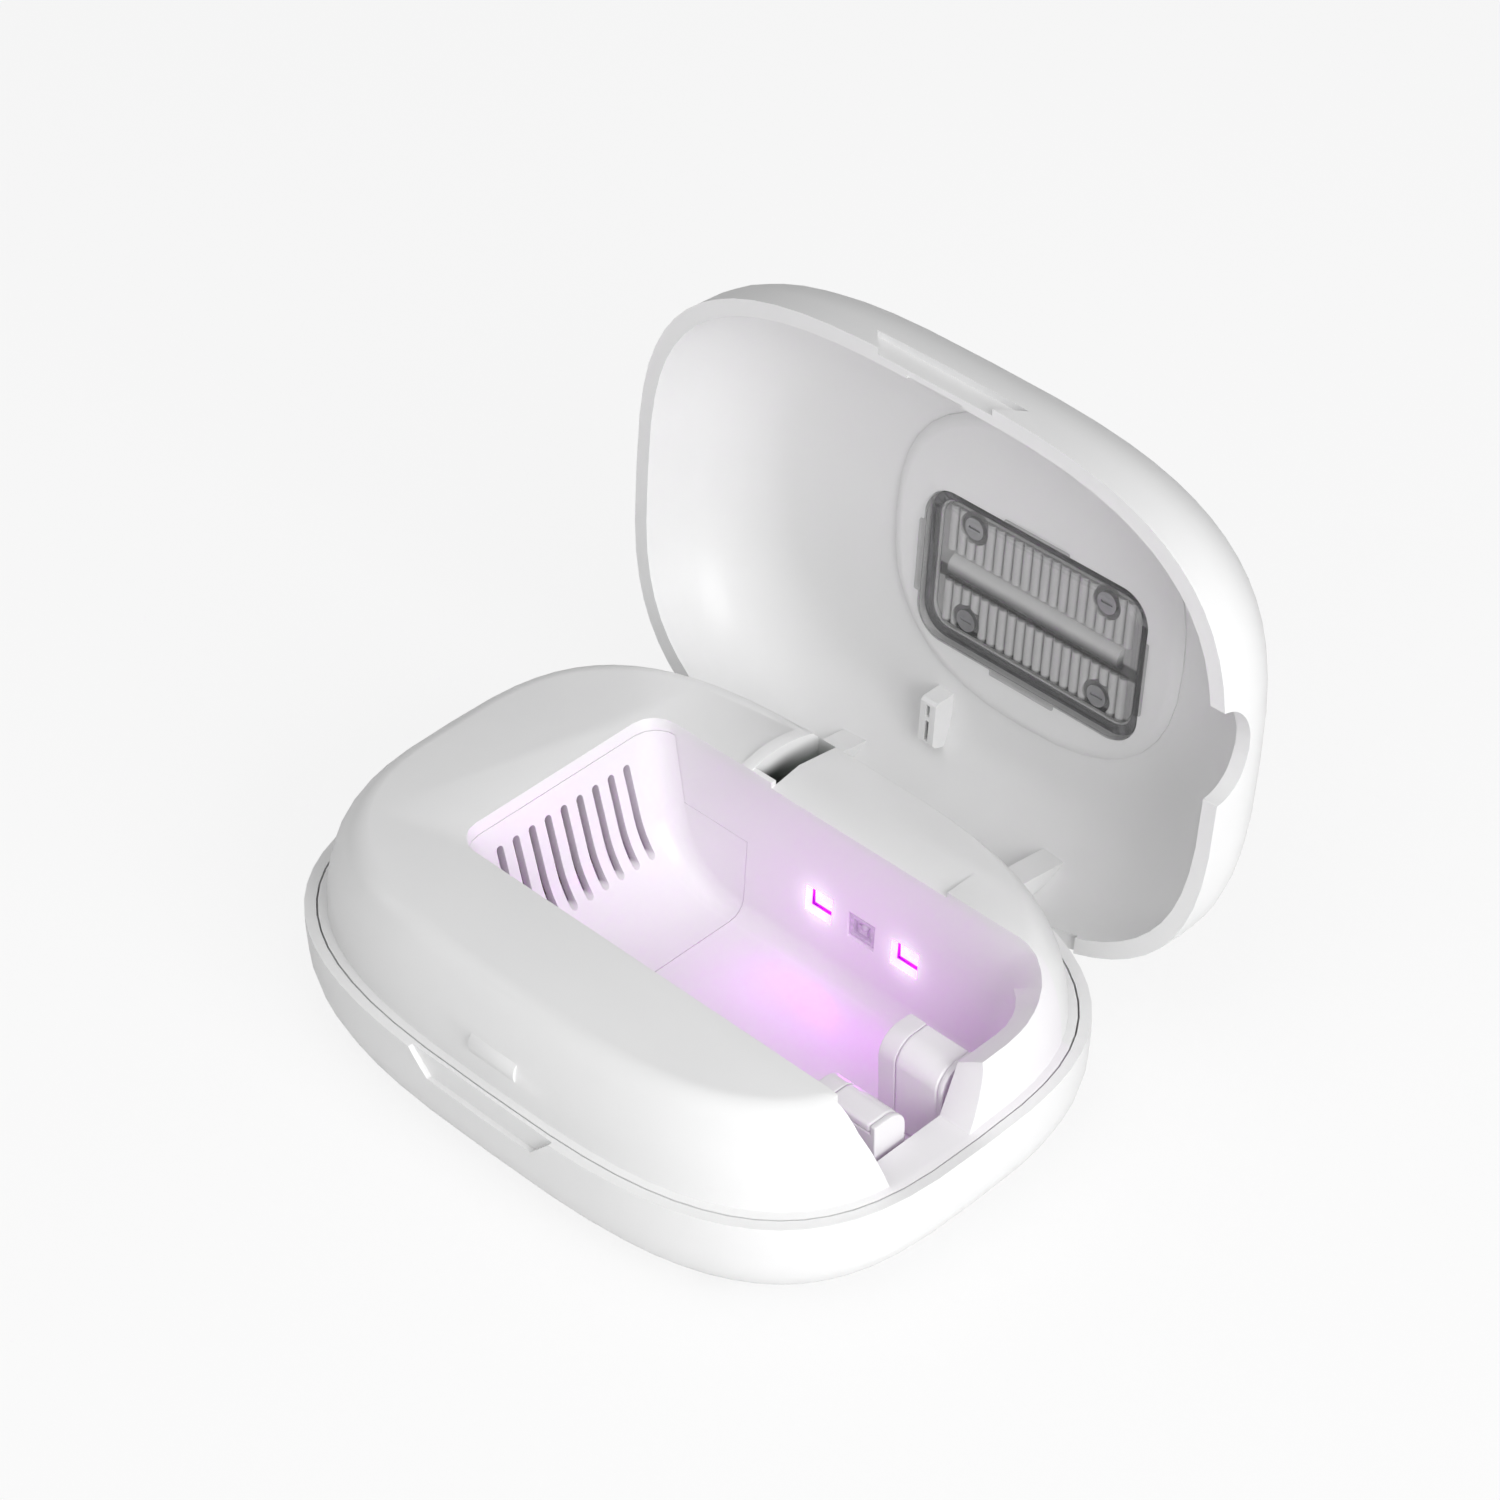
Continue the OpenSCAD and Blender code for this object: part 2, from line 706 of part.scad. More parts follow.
module fan_rotor() {
    x0 = fan_x - fan_t + 1.1;
    x1 = fan_x - 0.6;
    color("black") difference() {
        union() {
            along_x(x0, x1) translate([mid_y, fan_z]) circle(3.6, $fn = 48);
            for (k = [0:blade_count - 1])
                translate([(x0 + x1) / 2, mid_y, fan_z]) rotate([360 * k / blade_count, 0, 0])
                    translate([0, 0, 3]) rotate([0, 0, 38])
                        translate([-0.3, -2.3, 0]) cube([0.6, 4.6, fan_hole - 3.7]);
        }
        along_x(x0 - 1, fan_x - 1.3) translate([mid_y, fan_z]) circle(0.5 + run, $fn = 24);
    }
}

// Heater grid between the fan and the vent
module heater() {
    color("sienna") difference() {
        block([fan_x + 0.1, fan_x + 1.9], [mid_y - 7.95, mid_y + 7.95], [fan_z - 7.95, fan_z + 7.95]);
        for (k = [-3:3])
            block([fan_x - 1, fan_x + 3], [mid_y + 2 * k - 0.7, mid_y + 2 * k + 0.7],
                [fan_z - 6.6, fan_z + 6.6]);
    }
}

module sensor_board() {
    color("darkslategray") difference() {
        union() {
            block([-9.4, -2.4], [18.2, 28.2], [well_z - 0.8, well_z]);
            block([foot_x - 1, foot_x + 1], [20, 23], [well_z - 0.1, well_z + 1]);
        }
        for (p = [[-8, 26.6], [-3.8, 20.2]]) post(p, 0.5, 0, far);
    }
}

module hinge_pins() {
    x0 = arm_x - arm_w / 2 - 3.5;
    color("silver") for (s = [0, 1]) mirror([s, 0, 0])
        hinge_ring(pin_r, x0, arm_x + arm_w / 2 + 3.5);
}

module deck_screws() {
    color("silver") for (p = boss_places) difference() {
        union() {
            post(p, 1.9, screw_seat - 1.3, screw_seat);
            post(p, screw_r, screw_seat - 0.1, 14.8);
        }
        for (a = [0, 90]) translate([p.x, p.y, screw_seat - 1.4]) rotate(a)
            cube([2.4, 0.5, 1.4], center = true);
    }
}

module board_screw() {
    difference() {
        union() {
            cylinder(r = 1, h = 0.6, $fn = 32);
            translate([0, 0, -2.4]) cylinder(r = board_screw_r - run, h = 2.5, $fn = 24);
        }
        translate([0, 0, 0.6]) cube([1.4, 0.3, 0.6], center = true);
    }
}

module board_screws() {
    color("silver") {
        for (p = main_screws) translate([p.x, p.y, board_z + 1]) board_screw();
        for (p = usb_screws) translate([p.x, p.y, usb_z + 1]) board_screw();
        for (x = led_screw_x)
            translate([x, led_board_y + 1, window_z]) rotate([-90, 0, 0]) board_screw();
    }
}

// Turns a piece drawn closed into its open place
module lid_pose() {
    translate([0, hinge_y, hinge_z]) rotate([-open_angle, 0, 0])
        translate([0, -hinge_y, -hinge_z]) children();
}

module lid_outer() {
    z0 = rim_z + lid_band;
    rise = lid_h - 0.6 - lid_band;
    loft([outline_ring(0, rim_z + lid_lift), each edge_rings(0, lid_edge, z0, rise, 2, 9),
        outline_ring(lid_edge + 6, z0 + rise + 0.4), outline_ring(lid_edge + 12, rim_z + lid_h)]);
}

module lid_inner() {
    loft([outline_ring(lid_rim_w, rim_z - 1),
        each edge_rings(lid_rim_w, 11, rim_z + lid_band, roof_z - rim_z - lid_band, 2, 8)]);
}

module plateau() {
    half = [21.9, 19.6];
    mid = [lens_x, lens_y - 3.6];
    ring = function (d, z) [for (t = [0:10:350])
        [mid.x + (half.x - d) * sign(cos(t)) * pow(abs(cos(t)), 0.8),
         mid.y + (half.y - d) * sign(sin(t)) * pow(abs(sin(t)), 0.8), z]];
    loft([ring(1.5, plateau_z), ring(0.6, plateau_z + 0.15), ring(0, plateau_z + 0.6),
        ring(0, roof_z + 0.2)]);
}

// Hinge arm in YZ: knuckle below the rim, gusset up the inside of the rear wall
module arm() {
    along_x(-arm_w / 2, arm_w / 2) {
        translate([hinge_y, hinge_z]) circle(knuckle_r, $fn = 48);
        polygon([[hinge_y - knuckle_r, hinge_z], [hinge_y - knuckle_r, rim_z + 4.4],
            [hinge_y - 1.4, rim_z + 10.4], [hinge_y - 3.4, rim_z + 12.6],
            [hinge_y - 2.4, rim_z + 12.6], [hinge_y + 0.2, rim_z + 9.6],
            [hinge_y + 1.8, rim_z + 5], [hinge_y + 2, rim_z + 0.8],
            [hinge_y + knuckle_r, rim_z], [hinge_y + knuckle_r, hinge_z]]);
    }
}

module lid_shell() {
    color("white") lid_pose() difference() {
        union() {
            difference() {
                lid_outer();
                lid_inner();
            }
            plateau();
            for (x = [-arm_x, arm_x]) translate([x, 0, 0]) arm();
            // foot that enters the sensor slot
            along_x(foot_x - foot_w / 2, foot_x + foot_w / 2)
                polygon([[foot_y[0] - 0.3, roof_z + 0.3], [foot_y[0], foot_z + 0.4],
                    [foot_y[0] + 0.4, foot_z], [foot_y[1] - 0.5, foot_z],
                    [foot_y[1], foot_z + 0.5], [foot_y[1] + 0.6, foot_z + 2.5],
                    [foot_y[1] - 1, roof_z + 0.3]]);
        }
        hinge_ring(pin_r + run, -half_l, half_l);
        difference() {
            hinge_ring(lid_relief_r, -relief_end, relief_end);
            for (x = [-arm_x, arm_x])
                block([x - arm_w / 2, x + arm_w / 2], [hinge_y - 5, hinge_y + knuckle_r],
                    [hinge_z - 5, rim_z + 5]);
        }
        thumb_recess(rim_z, rim_z + 3, 0.9);
        // relief for the bead on the deck
        block([catch_x[0] - 0.5, catch_x[1] + 0.5], [lid_rim_w - half_w - 0.3, lid_rim_w - half_w + 1],
            [rim_z - 1, catch_z + 2.4]);
        // notch over the handle
        along_x(half_l - 6, half_l + 2) translate([-5.8, rim_z]) scale([6, 5])
            circle(1, $fn = 48);
        translate([lens_x, lens_y, plateau_z - 1]) linear_extrude(lens_seat - plateau_z + 1)
            rounded(lens_l + 0.3, lens_w + 0.3, 4.1);
        translate([lens_x, lens_y, roof_z]) linear_extrude(pocket_z - roof_z)
            rounded(lens_l - 3, lens_w - 3, 2.6);
        for (p = lens_screws_at) post(p, board_screw_r, roof_z, roof_z + 1.75);
        // slit in the foot, bridged once, with the magnet in its longer part
        block([foot_x - foot_slit / 2, foot_x + foot_slit / 2],
            [magnet_y[0] - gap, magnet_y[1] + gap], [foot_z - 1, foot_z + 2.6]);
        block([foot_x - foot_slit / 2, foot_x + foot_slit / 2],
            [foot_y[0] + 0.7, magnet_y[0] - 0.7], [foot_z - 1, foot_z + 1.2]);
    }
}

// Smoked window of the lid: a tray that stands proud, with a stepped border and four clip tabs
module lens_cover() {
    tab_z = [plateau_z - 0.5, plateau_z - 0.05];
    color("dimgray", 0.5) lid_pose() translate([lens_x, lens_y, 0]) difference() {
        union() {
            translate([0, 0, lens_z + 0.4]) linear_extrude(roof_z - lens_z - 0.4)
                rounded(lens_l, lens_w, 4);
            translate([0, 0, lens_z]) linear_extrude(1) rounded(lens_l - 1.2, lens_w - 1.2, 3.4);
            block([-tab_l / 2, tab_l / 2], [-lens_w / 2 - tab_out, lens_w / 2 + tab_out], tab_z);
            block([-lens_l / 2 - tab_out, lens_l / 2 + tab_out], [-tab_l / 2, tab_l / 2], tab_z);
        }
        translate([0, 0, lens_z + 0.6]) linear_extrude(3) rounded(lens_l - 3.2, lens_w - 3.2, 2.4);
    }
}

module lens_seal() {
    color("black") lid_pose() translate([lens_x, lens_y, roof_z]) linear_extrude(0.3)
        difference() {
            rounded(lens_l - 0.2, lens_w - 0.2, 3.9);
            rounded(lens_l - 2.6, lens_w - 2.6, 2.7);
        }
}

module flute_plate() {
    pitch = (lens_l - 5.2) / flute_count;
    color("whitesmoke") lid_pose() translate([lens_x, lens_y, 0]) difference() {
        union() {
            translate([0, 0, flute_z]) linear_extrude(pocket_z - flute_z)
                rounded(lens_l - 3.4, lens_w - 3.4, 2.4);
            for (k = [0:flute_count - 1], y = [[-8, -2], [2, 8]])
                along_y(y[0], y[1])
                    translate([pitch * (k - (flute_count - 1) / 2), flute_z + 0.1])
                        circle(pitch / 2 - 0.06, $fn = 16);
        }
        translate([0, 0, pocket_z]) linear_extrude(3) square([far, far], center = true);
        for (p = lens_screws_at) {
            post([p.x - lens_x, p.y - lens_y], 2.1, flute_z - 2, flute_z);
            post([p.x - lens_x, p.y - lens_y], board_screw_r + 0.05, 0, far);
        }
    }
}

module light_rod() {
    color("lavender") lid_pose() translate([lens_x, lens_y, 0]) difference() {
        along_x(-13, 13) translate([0, flute_z + 0.3]) circle(1.5, $fn = 48);
        translate([0, 0, flute_z]) linear_extrude(3) square([far, far], center = true);
    }
}

module lens_screws() {
    color("silver") lid_pose() for (p = lens_screws_at) difference() {
        union() {
            post(p, 1.4, flute_z - 0.5, flute_z);
            post(p, board_screw_r - run, flute_z - 0.1, roof_z + 1.7);
        }
        translate([p.x, p.y, flute_z - 0.5]) cube([1.7, 0.35, 0.5], center = true);
    }
}

module lid_magnet() {
    color("slategray") lid_pose()
        block([foot_x - foot_slit / 2 + 0.05, foot_x + foot_slit / 2 - 0.05], magnet_y,
            [foot_z + 0.6, foot_z + 2.6]);
}

base_shell();
deck();
vent_block();
neck_rest();
rear_neck_pad();
front_neck_pad();
led_board();
uva_leds();
uvc_led();
main_board();
usb_board();
usb_socket();
battery();
fan_frame();
fan_rotor();
heater();
sensor_board();
hinge_pins();
deck_screws();
board_screws();
lid_shell();
lens_cover();
lens_seal();
flute_plate();
light_rod();
lens_screws();
lid_magnet();
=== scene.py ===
import bpy
import math
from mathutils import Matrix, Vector


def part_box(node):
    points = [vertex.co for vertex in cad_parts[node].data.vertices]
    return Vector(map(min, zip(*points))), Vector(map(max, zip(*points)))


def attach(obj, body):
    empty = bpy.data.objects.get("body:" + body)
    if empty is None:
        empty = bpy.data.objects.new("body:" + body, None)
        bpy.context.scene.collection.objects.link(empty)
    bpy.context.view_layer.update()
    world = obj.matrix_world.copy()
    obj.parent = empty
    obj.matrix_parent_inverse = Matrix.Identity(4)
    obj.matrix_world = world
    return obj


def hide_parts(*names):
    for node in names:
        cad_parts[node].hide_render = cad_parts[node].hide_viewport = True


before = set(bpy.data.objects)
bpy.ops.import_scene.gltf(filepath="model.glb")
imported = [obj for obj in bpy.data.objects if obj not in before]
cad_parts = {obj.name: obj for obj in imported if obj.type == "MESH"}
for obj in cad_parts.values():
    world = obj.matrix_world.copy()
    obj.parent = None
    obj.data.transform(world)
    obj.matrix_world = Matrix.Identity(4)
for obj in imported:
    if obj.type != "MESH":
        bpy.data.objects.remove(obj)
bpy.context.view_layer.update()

# Camera: above the front right corner, looking down the diagonal with a long lens.
# The case fills the middle of a square frame with the lid standing open behind it.
bpy.ops.object.select_all(action="DESELECT")
bpy.ops.object.camera_add(location=(0.27628, -0.26591, 0.35811), rotation=(0.88362, 0.00958, 0.77893))
camera = bpy.context.object
camera.name = "camera"
camera.data.sensor_width = 36
camera.data.lens = 109.4
camera.data.clip_start = 0.01
bpy.context.scene.camera = camera
bpy.context.scene.view_settings.view_transform = "Standard"


# Floor: a wide matt sheet under the case, part of the studio and not of the object.
# The camera sees it almost white, and it still takes the case's soft shadow.
class Wire:
    """A socket in a material. Sums on it add Math nodes, and node() adds any other kind."""

    def __init__(self, tree, socket):
        self.tree = tree
        self.socket = socket

    def node(self, kind, settings=None, inputs=None, out=0):
        made = self.tree.nodes.new(kind)
        for key, value in (settings or {}).items():
            if key == "ramp":
                while len(made.color_ramp.elements) < len(value):
                    made.color_ramp.elements.new(0.5)
                for stop, (place, colour) in zip(made.color_ramp.elements, value):
                    stop.position = place
                    stop.color = (*colour, 1)
            else:
                setattr(made, key, value)
        for key, value in (inputs or {}).items():
            if isinstance(value, Wire):
                self.tree.links.new(value.socket, made.inputs[key])
            else:
                made.inputs[key].default_value = value
        return Wire(self.tree, made.outputs[out])

    def into(self, name):
        self.tree.links.new(self.socket, self.tree.nodes["Principled BSDF"].inputs[name])

    def math(self, how, a, b=0.0):
        return self.node("ShaderNodeMath", {"operation": how}, {0: a, 1: b})

    def __add__(self, other):
        return self.math("ADD", self, other)

    def __radd__(self, other):
        return self.math("ADD", other, self)

    def __sub__(self, other):
        return self.math("SUBTRACT", self, other)

    def __rsub__(self, other):
        return self.math("SUBTRACT", other, self)

    def __mul__(self, other):
        return self.math("MULTIPLY", self, other)

    def __rmul__(self, other):
        return self.math("MULTIPLY", other, self)

    def __truediv__(self, other):
        return self.math("DIVIDE", self, other)

    def __rtruediv__(self, other):
        return self.math("DIVIDE", other, self)

    def __pow__(self, other):
        return self.math("POWER", self, other)


def surface(name, **plain):
    """A new material with plain shader values, and its object coordinates as a Wire."""
    made = bpy.data.materials.new(name)
    made.use_nodes = True
    for key, value in plain.items():
        made.node_tree.nodes["Principled BSDF"].inputs[key.replace("_", " ")].default_value = value
    coordinates = made.node_tree.nodes.new("ShaderNodeTexCoord")
    return made, Wire(made.node_tree, coordinates.outputs["Object"])


floor_size = 6
floor_drop = 0.0001
floor_white = 0.82
bpy.ops.mesh.primitive_plane_add(size=floor_size, location=(0, 0, -floor_drop))
floor = bpy.context.object
floor.name = "studio_floor"
floor_paper, floor_at = surface("studio_floor", Base_Color=(0.85, 0.85, 0.85, 1), Roughness=0.9)
seen = floor_at.node("ShaderNodeLightPath")
paper_white = floor_at.node("ShaderNodeEmission", inputs={"Color": (1, 1, 1, 1), "Strength": 1.0})
paper = Wire(floor_paper.node_tree, floor_paper.node_tree.nodes["Principled BSDF"].outputs[0])
blend = floor_at.node("ShaderNodeMixShader", inputs={0: seen * floor_white, 1: paper, 2: paper_white})
floor_paper.node_tree.links.new(
    blend.socket, floor_paper.node_tree.nodes["Material Output"].inputs["Surface"])
floor.data.materials.append(floor_paper)


# Studio light: a soft grey room, a strong panel at the open end of the chamber, and weak ones
# in front, above the front and overhead. The camera sees the room as plain white.
world = bpy.data.worlds.new("studio")
bpy.context.scene.world = world
world.use_nodes = True
room = Wire(world.node_tree, world.node_tree.nodes["Background"].outputs[0])
world.node_tree.nodes["Background"].inputs["Color"].default_value = (1, 1, 1, 1)
world.node_tree.nodes["Background"].inputs["Strength"].default_value = 0.323
backdrop = room.node("ShaderNodeBackground", inputs={"Color": (1, 1, 1, 1), "Strength": 1.0})
camera_ray = room.node("ShaderNodeLightPath")
sky = room.node("ShaderNodeMixShader", inputs={0: camera_ray, 1: room, 2: backdrop})
world.node_tree.links.new(sky.socket, world.node_tree.nodes["World Output"].inputs["Surface"])
panel_size = 0.5
panel_aim = Vector((0, 0, 0.02))
for name, place, power in (
        ("side_panel", (0.62, -0.16, 0.30), 4.1),
        ("front_panel", (-0.15, -0.75, 0.28), 0.25),
        ("high_panel", (0.10, -0.50, 0.60), 0.78),
        ("top_panel", (0.00, -0.10, 0.75), 0.9)):
    bpy.ops.object.light_add(type="AREA", location=place)
    panel = bpy.context.object
    panel.name = name
    panel.data.size = panel_size
    panel.data.energy = power
    panel.rotation_euler = (Vector(place) - panel_aim).to_track_quat("Z", "Y").to_euler()


# Base shell: the lower moulding in satin white plastic, with a bare rim and a thumb recess.
# Its mould leaves small radii, so a merged copy of the solid gets its edges broken.
same_point = 0.000002
same_plane = math.radians(0.6)


def moulding(node, name, body, finish, width, crease=30, segments=2, flat=lambda at: True):
    """A node's copy with radii along its edges, level shading on its flat walls and a finish."""
    bpy.ops.object.select_all(action="DESELECT")
    piece = bpy.data.objects.new(name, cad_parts[node].data.copy())
    bpy.context.scene.collection.objects.link(piece)
    bpy.context.view_layer.objects.active = piece
    piece.select_set(True)
    bpy.ops.object.mode_set(mode="EDIT")
    bpy.ops.mesh.select_all(action="SELECT")
    bpy.ops.mesh.remove_doubles(threshold=same_point)
    bpy.ops.mesh.dissolve_limited(angle_limit=same_plane)
    bpy.ops.object.mode_set(mode="OBJECT")
    bpy.ops.object.modifier_add(type="BEVEL")
    edge = piece.modifiers[-1]
    edge.width = width
    edge.segments = segments
    edge.limit_method = "ANGLE"
    edge.angle_limit = math.radians(crease)
    edge.use_clamp_overlap = True
    bpy.ops.object.modifier_apply(modifier=edge.name)
    bpy.ops.object.shade_smooth_by_angle(angle=math.radians(crease))
    walls = piece.vertex_groups.new(name="flat_walls")
    walls.add([v.index for v in piece.data.vertices if flat(v.co)], 1.0, "REPLACE")
    bpy.ops.object.modifier_add(type="WEIGHTED_NORMAL")
    level = piece.modifiers[-1]
    level.keep_sharp = True
    level.vertex_group = walls.name
    bpy.ops.object.modifier_apply(modifier=level.name)
    piece.data.materials.clear()
    piece.data.materials.append(finish)
    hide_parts(node)
    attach(piece, body)
    return piece


def noise(at, scale, detail):
    return at.node("ShaderNodeTexNoise", inputs={"Vector": at, "Scale": scale, "Detail": detail})


def two_tone(pattern, first, last, start=0.3, end=0.7):
    """A colour that runs from the first to the last as a pattern rises from start to end."""
    return pattern.node("ShaderNodeValToRGB", {"ramp": [(start, first), (end, last)]}, {0: pattern})


def relief(pattern, strength, distance):
    pattern.node("ShaderNodeBump", inputs={
        "Height": pattern, "Strength": strength, "Distance": distance}).into("Normal")


def white_plastic(name, tone=0.80, rough=0.30, **plain):
    made, at = surface(name, IOR=1.49, Coat_Roughness=0.12, **plain)
    cloud = noise(at, 45.0, 3.0)
    grain = noise(at, 2600.0, 2.0)
    spread = 0.012
    darker = (tone - spread, tone - spread, tone - 0.01)
    paler = (tone + spread, tone + spread, tone + spread)
    two_tone(cloud, darker, paler).into("Base Color")
    (cloud * 0.08 + (rough - 0.04) + grain * 0.03).into("Roughness")
    (cloud * 0.1 + 0.1).into("Coat Weight")
    relief(grain, 0.04, 0.00002)
    return made, at


base_white, _ = white_plastic("satin_white_base")
moulding("base_shell", "base_housing", "base", base_white, 0.00025)


# Screws and pins: plated steel, turned and rolled. Screws hold the deck from below and three
# boards on their posts or wall, and the pins run through the knuckles. Fine uneven rubbing
# marks break up their shine.
def dress(finish, *nodes):
    for node in nodes:
        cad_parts[node].data.materials.clear()
        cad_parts[node].data.materials.append(finish)


steel, at = surface("plated_steel", Metallic=1.0)
rubbing = noise(at, 900.0, 4.0)
two_tone(rubbing, (0.52, 0.52, 0.54), (0.66, 0.66, 0.67), 0.2, 0.8).into("Base Color")
(rubbing * 0.25 + 0.2).into("Roughness")
dress(steel, "deck_screws", "board_screws", "hinge_pins")


# Circuit boards: glass-epoxy boards under green solder mask. Two are screwed to posts in the
# base, and the small one hangs on two pins under the deck's slot. Thin lines of copper show
# through the mask as a slightly lighter green.
mask_green, at = surface("green_solder_mask", Coat_Roughness=0.2)
tracks = at.node("ShaderNodeTexBrick", {"offset": 0.5}, {
    "Vector": at, "Scale": 420.0, "Mortar Size": 0.03, "Color1": (0.010, 0.085, 0.035, 1),
    "Color2": (0.014, 0.105, 0.045, 1), "Mortar": (0.03, 0.16, 0.07, 1)})
tracks.into("Base Color")
weave = noise(at, 1800.0, 2.0)
(weave * 0.15 + 0.35).into("Roughness")
relief(weave, 0.15, 0.00003)
dress(mask_green, "main_board", "usb_board", "sensor_board")


# Charging socket: a drawn nickel-plated sleeve round a tongue, soldered to its own board
# and let into the end wall.
nickel, at = surface("nickel_plate", Metallic=1.0)
drawn = noise(at, 700.0, 3.0)
two_tone(drawn, (0.60, 0.59, 0.57), (0.72, 0.71, 0.69)).into("Base Color")
(drawn * 0.15 + 0.22).into("Roughness")
dress(nickel, "usb_socket")


# Cell: a round rechargeable cell in a plain grey shrink sleeve, cradled on two ribs.
# The shrunk film is faintly wrinkled.
sleeve, at = surface("grey_shrink_sleeve", IOR=1.5)
wrinkle = noise(at, 300.0, 3.0)
two_tone(wrinkle, (0.14, 0.16, 0.18), (0.18, 0.20, 0.22)).into("Base Color")
(wrinkle * 0.2 + 0.3).into("Roughness")
relief(wrinkle, 0.2, 0.0001)
dress(sleeve, "battery")


# Fan: frame and rotor moulded in black glass-filled nylon, a touch glossier on the rotor.
# It stands across the duct behind the heater.
for node, dark, shine in (("fan_frame", 0.018, 0.45), ("fan_rotor", 0.012, 0.32)):
    nylon, at = surface(node + "_nylon", IOR=1.52)
    fibre = noise(at, 1500.0, 3.0)
    two_tone(fibre, (dark, dark, dark), (dark * 1.7, dark * 1.7, dark * 1.75)).into("Base Color")
    (fibre * 0.15 + shine).into("Roughness")
    dress(nylon, node)


# Heater: a pressed and fired grid of brown ceramic, slid into the duct in front of the fan.
# Its surface is dull and finely speckled.
ceramic, at = surface("brown_ceramic", IOR=1.55)
speck = noise(at, 2200.0, 4.0)
two_tone(speck, (0.17, 0.08, 0.05), (0.26, 0.14, 0.09)).into("Base Color")
(speck * 0.2 + 0.55).into("Roughness")
dress(ceramic, "heater")


# Deck: the domed upper moulding that holds the drying chamber, in the same satin white.
# The violet light that the lamps leave on the chamber is painted onto its walls as a faint
# glow in their emission, which falls off from each lamp, and a painted pale halo rings each window.
lamp_low, lamp_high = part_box("uva_leds")
lamp_inset = 0.0017
lamp_front = 0.001
lamp_places = [(x, lamp_low.y - lamp_front, (lamp_low.z + lamp_high.z) / 2)
    for x in (lamp_low.x + lamp_inset, lamp_high.x - lamp_inset)]
wash_reach = 0.012
painted_halo_reach = 0.0027
chamber_top = (0.0240, 0.0262)
chamber_back = (0.0172, 0.0180)
chamber_front = (-0.0150, -0.0140)


def eased(value, start, end, before=0.0, after=1.0):
    """Goes smoothly from one number to another while a value rises from start to end."""
    return value.node("ShaderNodeMapRange", {"interpolation_type": "SMOOTHSTEP"}, {
        0: value, 1: start, 2: end, 3: before, 4: after})


def x_y_z(at):
    """The three coordinates of a point, each as a Wire."""
    split = at.node("ShaderNodeSeparateXYZ", inputs={0: at})
    return [Wire(at.tree, axis) for axis in split.socket.node.outputs]


def lit_white(name, tone=0.80, rough=0.30):
    # Painted light: the lamps' violet glow on the chamber's walls and a pale halo round each window,
    # in the emission colour.
    made, at = white_plastic(name, tone, rough, Emission_Strength=1.0)
    wash = 0.0
    painted_halo = 0.0
    for lamp in lamp_places:
        away = at.node("ShaderNodeVectorMath", {"operation": "DISTANCE"}, {0: at, 1: lamp}, out=1)
        wash = 1 / (1 + (away / wash_reach) ** 2) + wash
        painted_halo = 1 / (1 + (away / painted_halo_reach) ** 5) + painted_halo
    _, across, height = x_y_z(at)
    below = eased(height, *chamber_top, 1.0, 0.0)
    ahead = eased(across, *chamber_back, 1.0, 0.0)
    behind = eased(across, *chamber_front)
    inside = below * ahead * behind
    violet = at.node("ShaderNodeVectorMath", {"operation": "SCALE"}, {
        0: (0.068, 0.0, 0.088), 3: wash * inside})
    pale = at.node("ShaderNodeVectorMath", {"operation": "SCALE"}, {
        0: (0.34, 0.30, 0.36), 3: painted_halo * inside})
    at.node("ShaderNodeVectorMath", {"operation": "ADD"}, {0: violet, 1: pale}).into("Emission Color")
    return made, at


# The slot in the deck is painted darker with depth, most of all at its end by the chamber: painted
# shade for its unlit inside.
slot_x = -0.0058
slot_half = 0.00168
slot_front = 0.0178
slot_depths = (0.0233, 0.0258)
slot_ends = (0.0195, 0.0275)
slot_painted_shade = (0.02, 0.018, 0.02, 1)
deck_white, at = lit_white("satin_white_deck")
x_at, y_at, z_at = x_y_z(at)
from_middle = at.math("ABSOLUTE", x_at - slot_x)
in_slot = at.math("LESS_THAN", from_middle, slot_half) * at.math("GREATER_THAN", y_at, slot_front)
painted_shade_by_depth = eased(z_at, *slot_depths, 0.97, 0.0)
painted_shade_near_chamber = eased(y_at, *slot_ends, 1.0, 0.3)
white_input = deck_white.node_tree.nodes["Principled BSDF"].inputs["Base Color"]
white_deck = Wire(at.tree, white_input.links[0].from_socket)
# Painted shade: the deck's white is mixed toward near black inside the slot.
at.node("ShaderNodeMix", {"data_type": "RGBA", "blend_type": "MIX"}, {
    0: in_slot * painted_shade_by_depth * painted_shade_near_chamber, 6: white_deck, 7: slot_painted_shade}, out=2).into("Base Color")


def chamber_wall(at):
    """Whether a point lies on the chamber's walls, whose flats are shaded level."""
    return at.z < 0.0257 and -0.026 < at.x < 0.040 and -0.016 < at.y < 0.0176


domed = moulding("deck", "domed_deck", "base", deck_white, 0.0004, segments=3, flat=chamber_wall)

# The room for the vent block runs out through the foot of the dome's wall in the two corners
# at the fan end. A copy of the wall from a plain corner, sunk a hair, closes each.
corner_shrink = 0.9993
corner_drop = 0.00003


